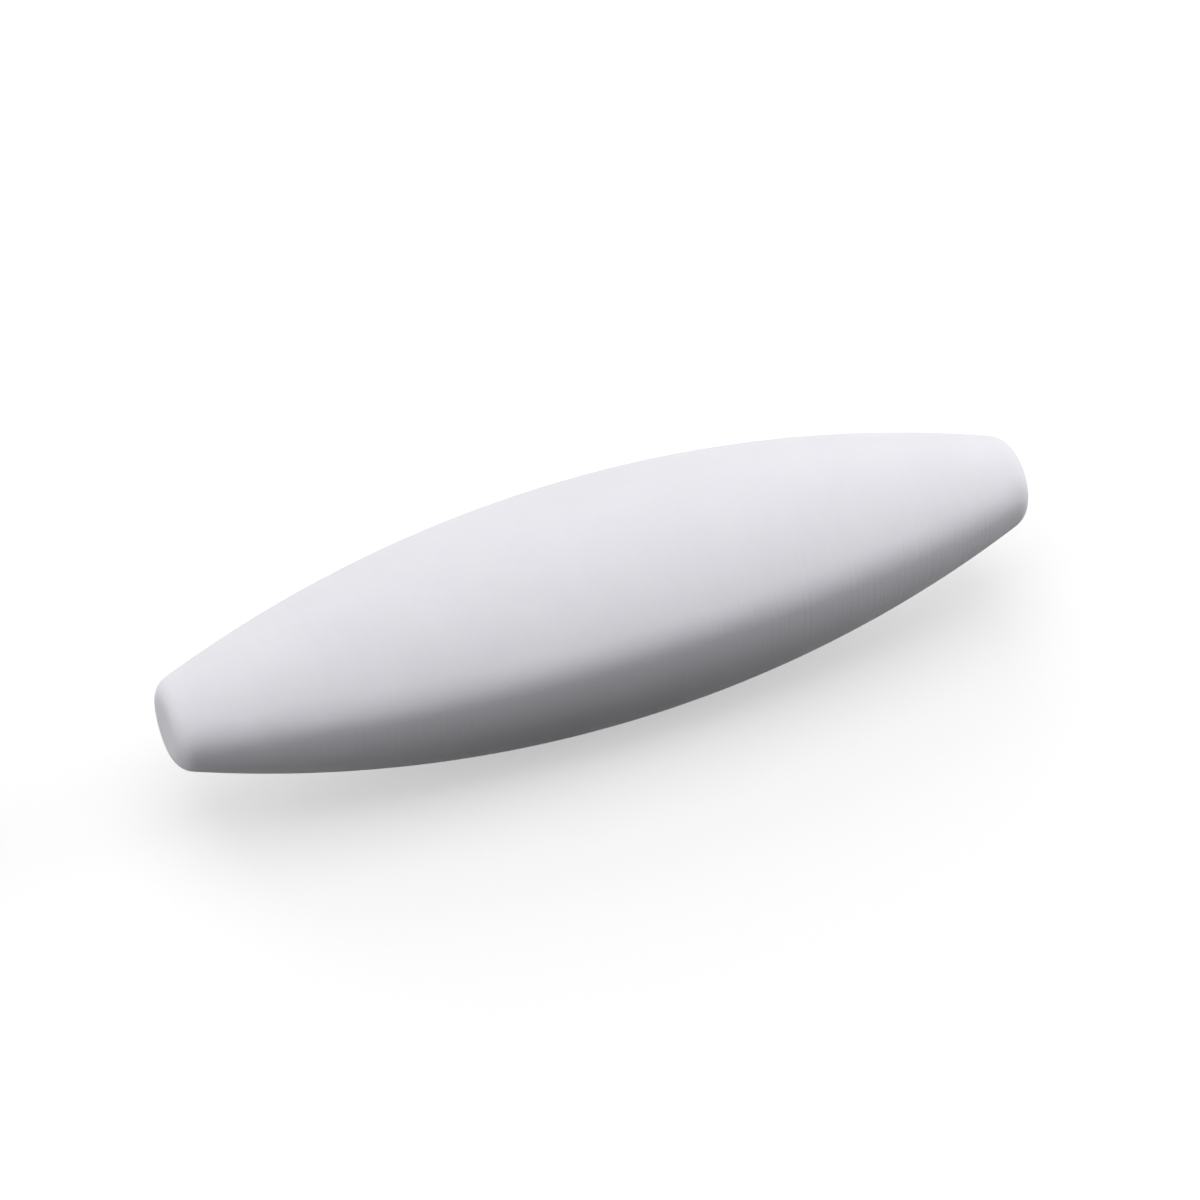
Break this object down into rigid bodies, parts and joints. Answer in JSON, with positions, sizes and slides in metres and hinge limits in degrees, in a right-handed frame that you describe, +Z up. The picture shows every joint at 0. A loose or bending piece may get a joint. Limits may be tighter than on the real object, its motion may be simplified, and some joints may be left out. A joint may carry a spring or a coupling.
{
  "type": "magnetic stir bar",
  "caption": "Oval spindle-shaped magnetic stir bar: a rod magnet sealed in a smooth white PTFE jacket with small flat ends, spun from below to stir a liquid.",
  "frame": {"origin": "middle of the bar, on its axis of revolution", "axes": "+X along the bar's axis of revolution, +Z up"},
  "size_m": [0.07, 0.019, 0.019],
  "materials": {
    "ptfe": "white sintered PTFE, smooth and waxy",
    "alnico": "cast alnico, ground on its side and ends"
  },
  "bodies": {
    "root": {"ptfe_jacket": "ptfe", "magnet_core": "alnico"}
  },
  "joints": []
}
